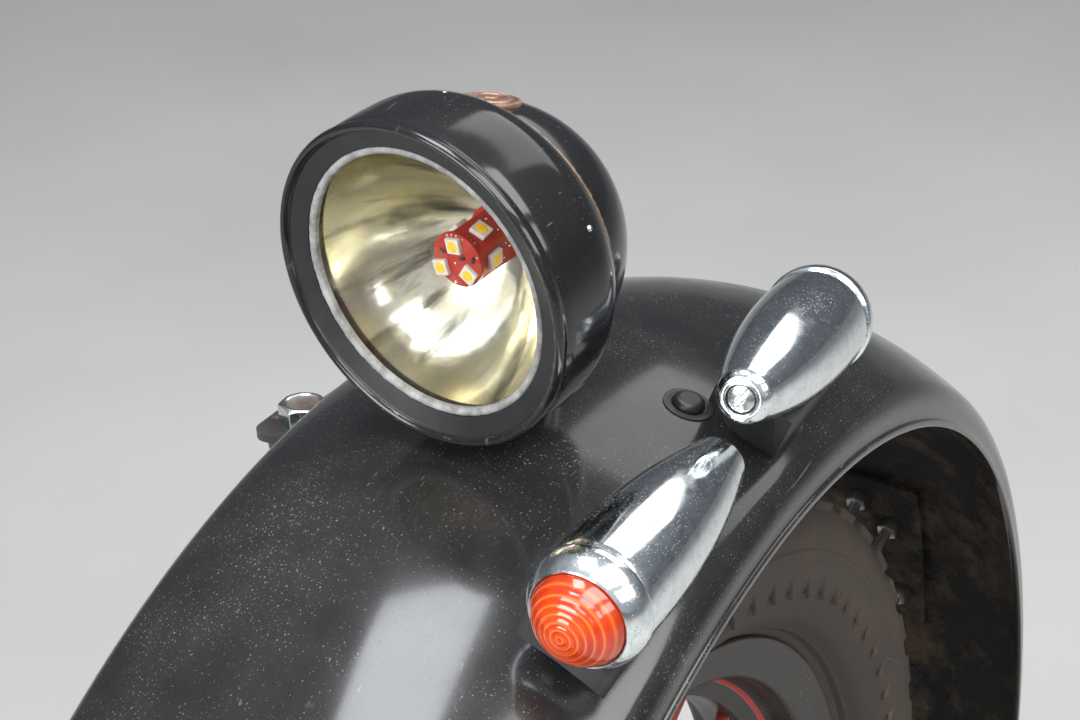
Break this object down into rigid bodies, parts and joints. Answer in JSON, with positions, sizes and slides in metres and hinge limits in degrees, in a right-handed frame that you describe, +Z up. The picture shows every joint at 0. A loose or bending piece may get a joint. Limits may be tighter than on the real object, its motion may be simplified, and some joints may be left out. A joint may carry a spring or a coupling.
{
  "type": "sidecar wheel with mudguard and lamps",
  "caption": "Sidecar wheel under a black domed mudguard with a headlamp and chrome marker lamps, carried by a bolt-on stub axle plate with three stays",
  "frame": {"origin": "the middle of the carrier's mounting face, on the axle line", "axes": "+X forwards, +Y outboard away from the chassis, +Z up"},
  "size_m": [0.6192, 0.1912, 0.7096],
  "materials": {
    "black_paint": "gloss",
    "black_steel": "satin",
    "chrome_cast": "polished",
    "zinc_steel": "dull",
    "spoke_steel": "dull",
    "hub_alloy": "satin",
    "tyre_rubber": "dusty",
    "soft_rubber": "matte",
    "seal_rubber": "rough",
    "lamp_glass": "gloss",
    "amber_lens": "gloss",
    "silvered": "polished",
    "red_board": "gloss",
    "holder_plastic": "matte",
    "copper_badge": "worn"
  },
  "bodies": {
    "frame": {"axle_carrier": "black_steel", "axle_nut": "zinc_steel", "axle_washer": "zinc_steel", "bulb_holder": "holder_plastic", "dome_bolt": "black_paint", "front_bridge": "black_steel", "front_bridge_bolts": "zinc_steel", "front_marker_casing": "chrome_cast", "front_marker_collar": "chrome_cast", "front_marker_fixings": "zinc_steel", "front_marker_lens": "amber_lens", "front_marker_pad": "soft_rubber", "front_stay": "black_steel", "front_stay_bolts": "zinc_steel", "lamp_badge": "copper_badge", "lamp_bulb": "red_board", "lamp_gasket": "soft_rubber", "lamp_glass": "lamp_glass", "lamp_reflector": "silvered", "lamp_rim": "black_paint", "lamp_seal": "seal_rubber", "lamp_shell": "black_paint", "lamp_stud": "zinc_steel", "mudguard": "black_paint", "rear_bridge": "black_steel", "rear_bridge_bolts": "zinc_steel", "rear_marker_casing": "chrome_cast", "rear_marker_collar": "chrome_cast", "rear_marker_fixings": "zinc_steel", "rear_marker_lens": "amber_lens", "rear_marker_pad": "soft_rubber", "rear_stay": "black_steel", "rear_stay_bolts": "zinc_steel", "stub_axle": "zinc_steel", "top_bolt": "zinc_steel", "top_bridge": "black_steel", "top_bridge_bolts": "zinc_steel", "top_stay": "black_steel", "top_stay_bolts": "zinc_steel"},
    "wheel": {"tyre": "tyre_rubber", "rim": "black_paint", "outer_spokes": "spoke_steel", "inner_spokes": "spoke_steel", "spoke_nipples": "spoke_steel", "hub": "hub_alloy", "hub_cap": "chrome_cast", "valve": "soft_rubber"}
  },
  "joints": [
    {"name": "wheel_spin", "type": "hinge", "parent": "frame", "child": "wheel", "pos_m": [0, 0.11, 0], "axis": [0, 1, 0], "continuous": true}
  ]
}
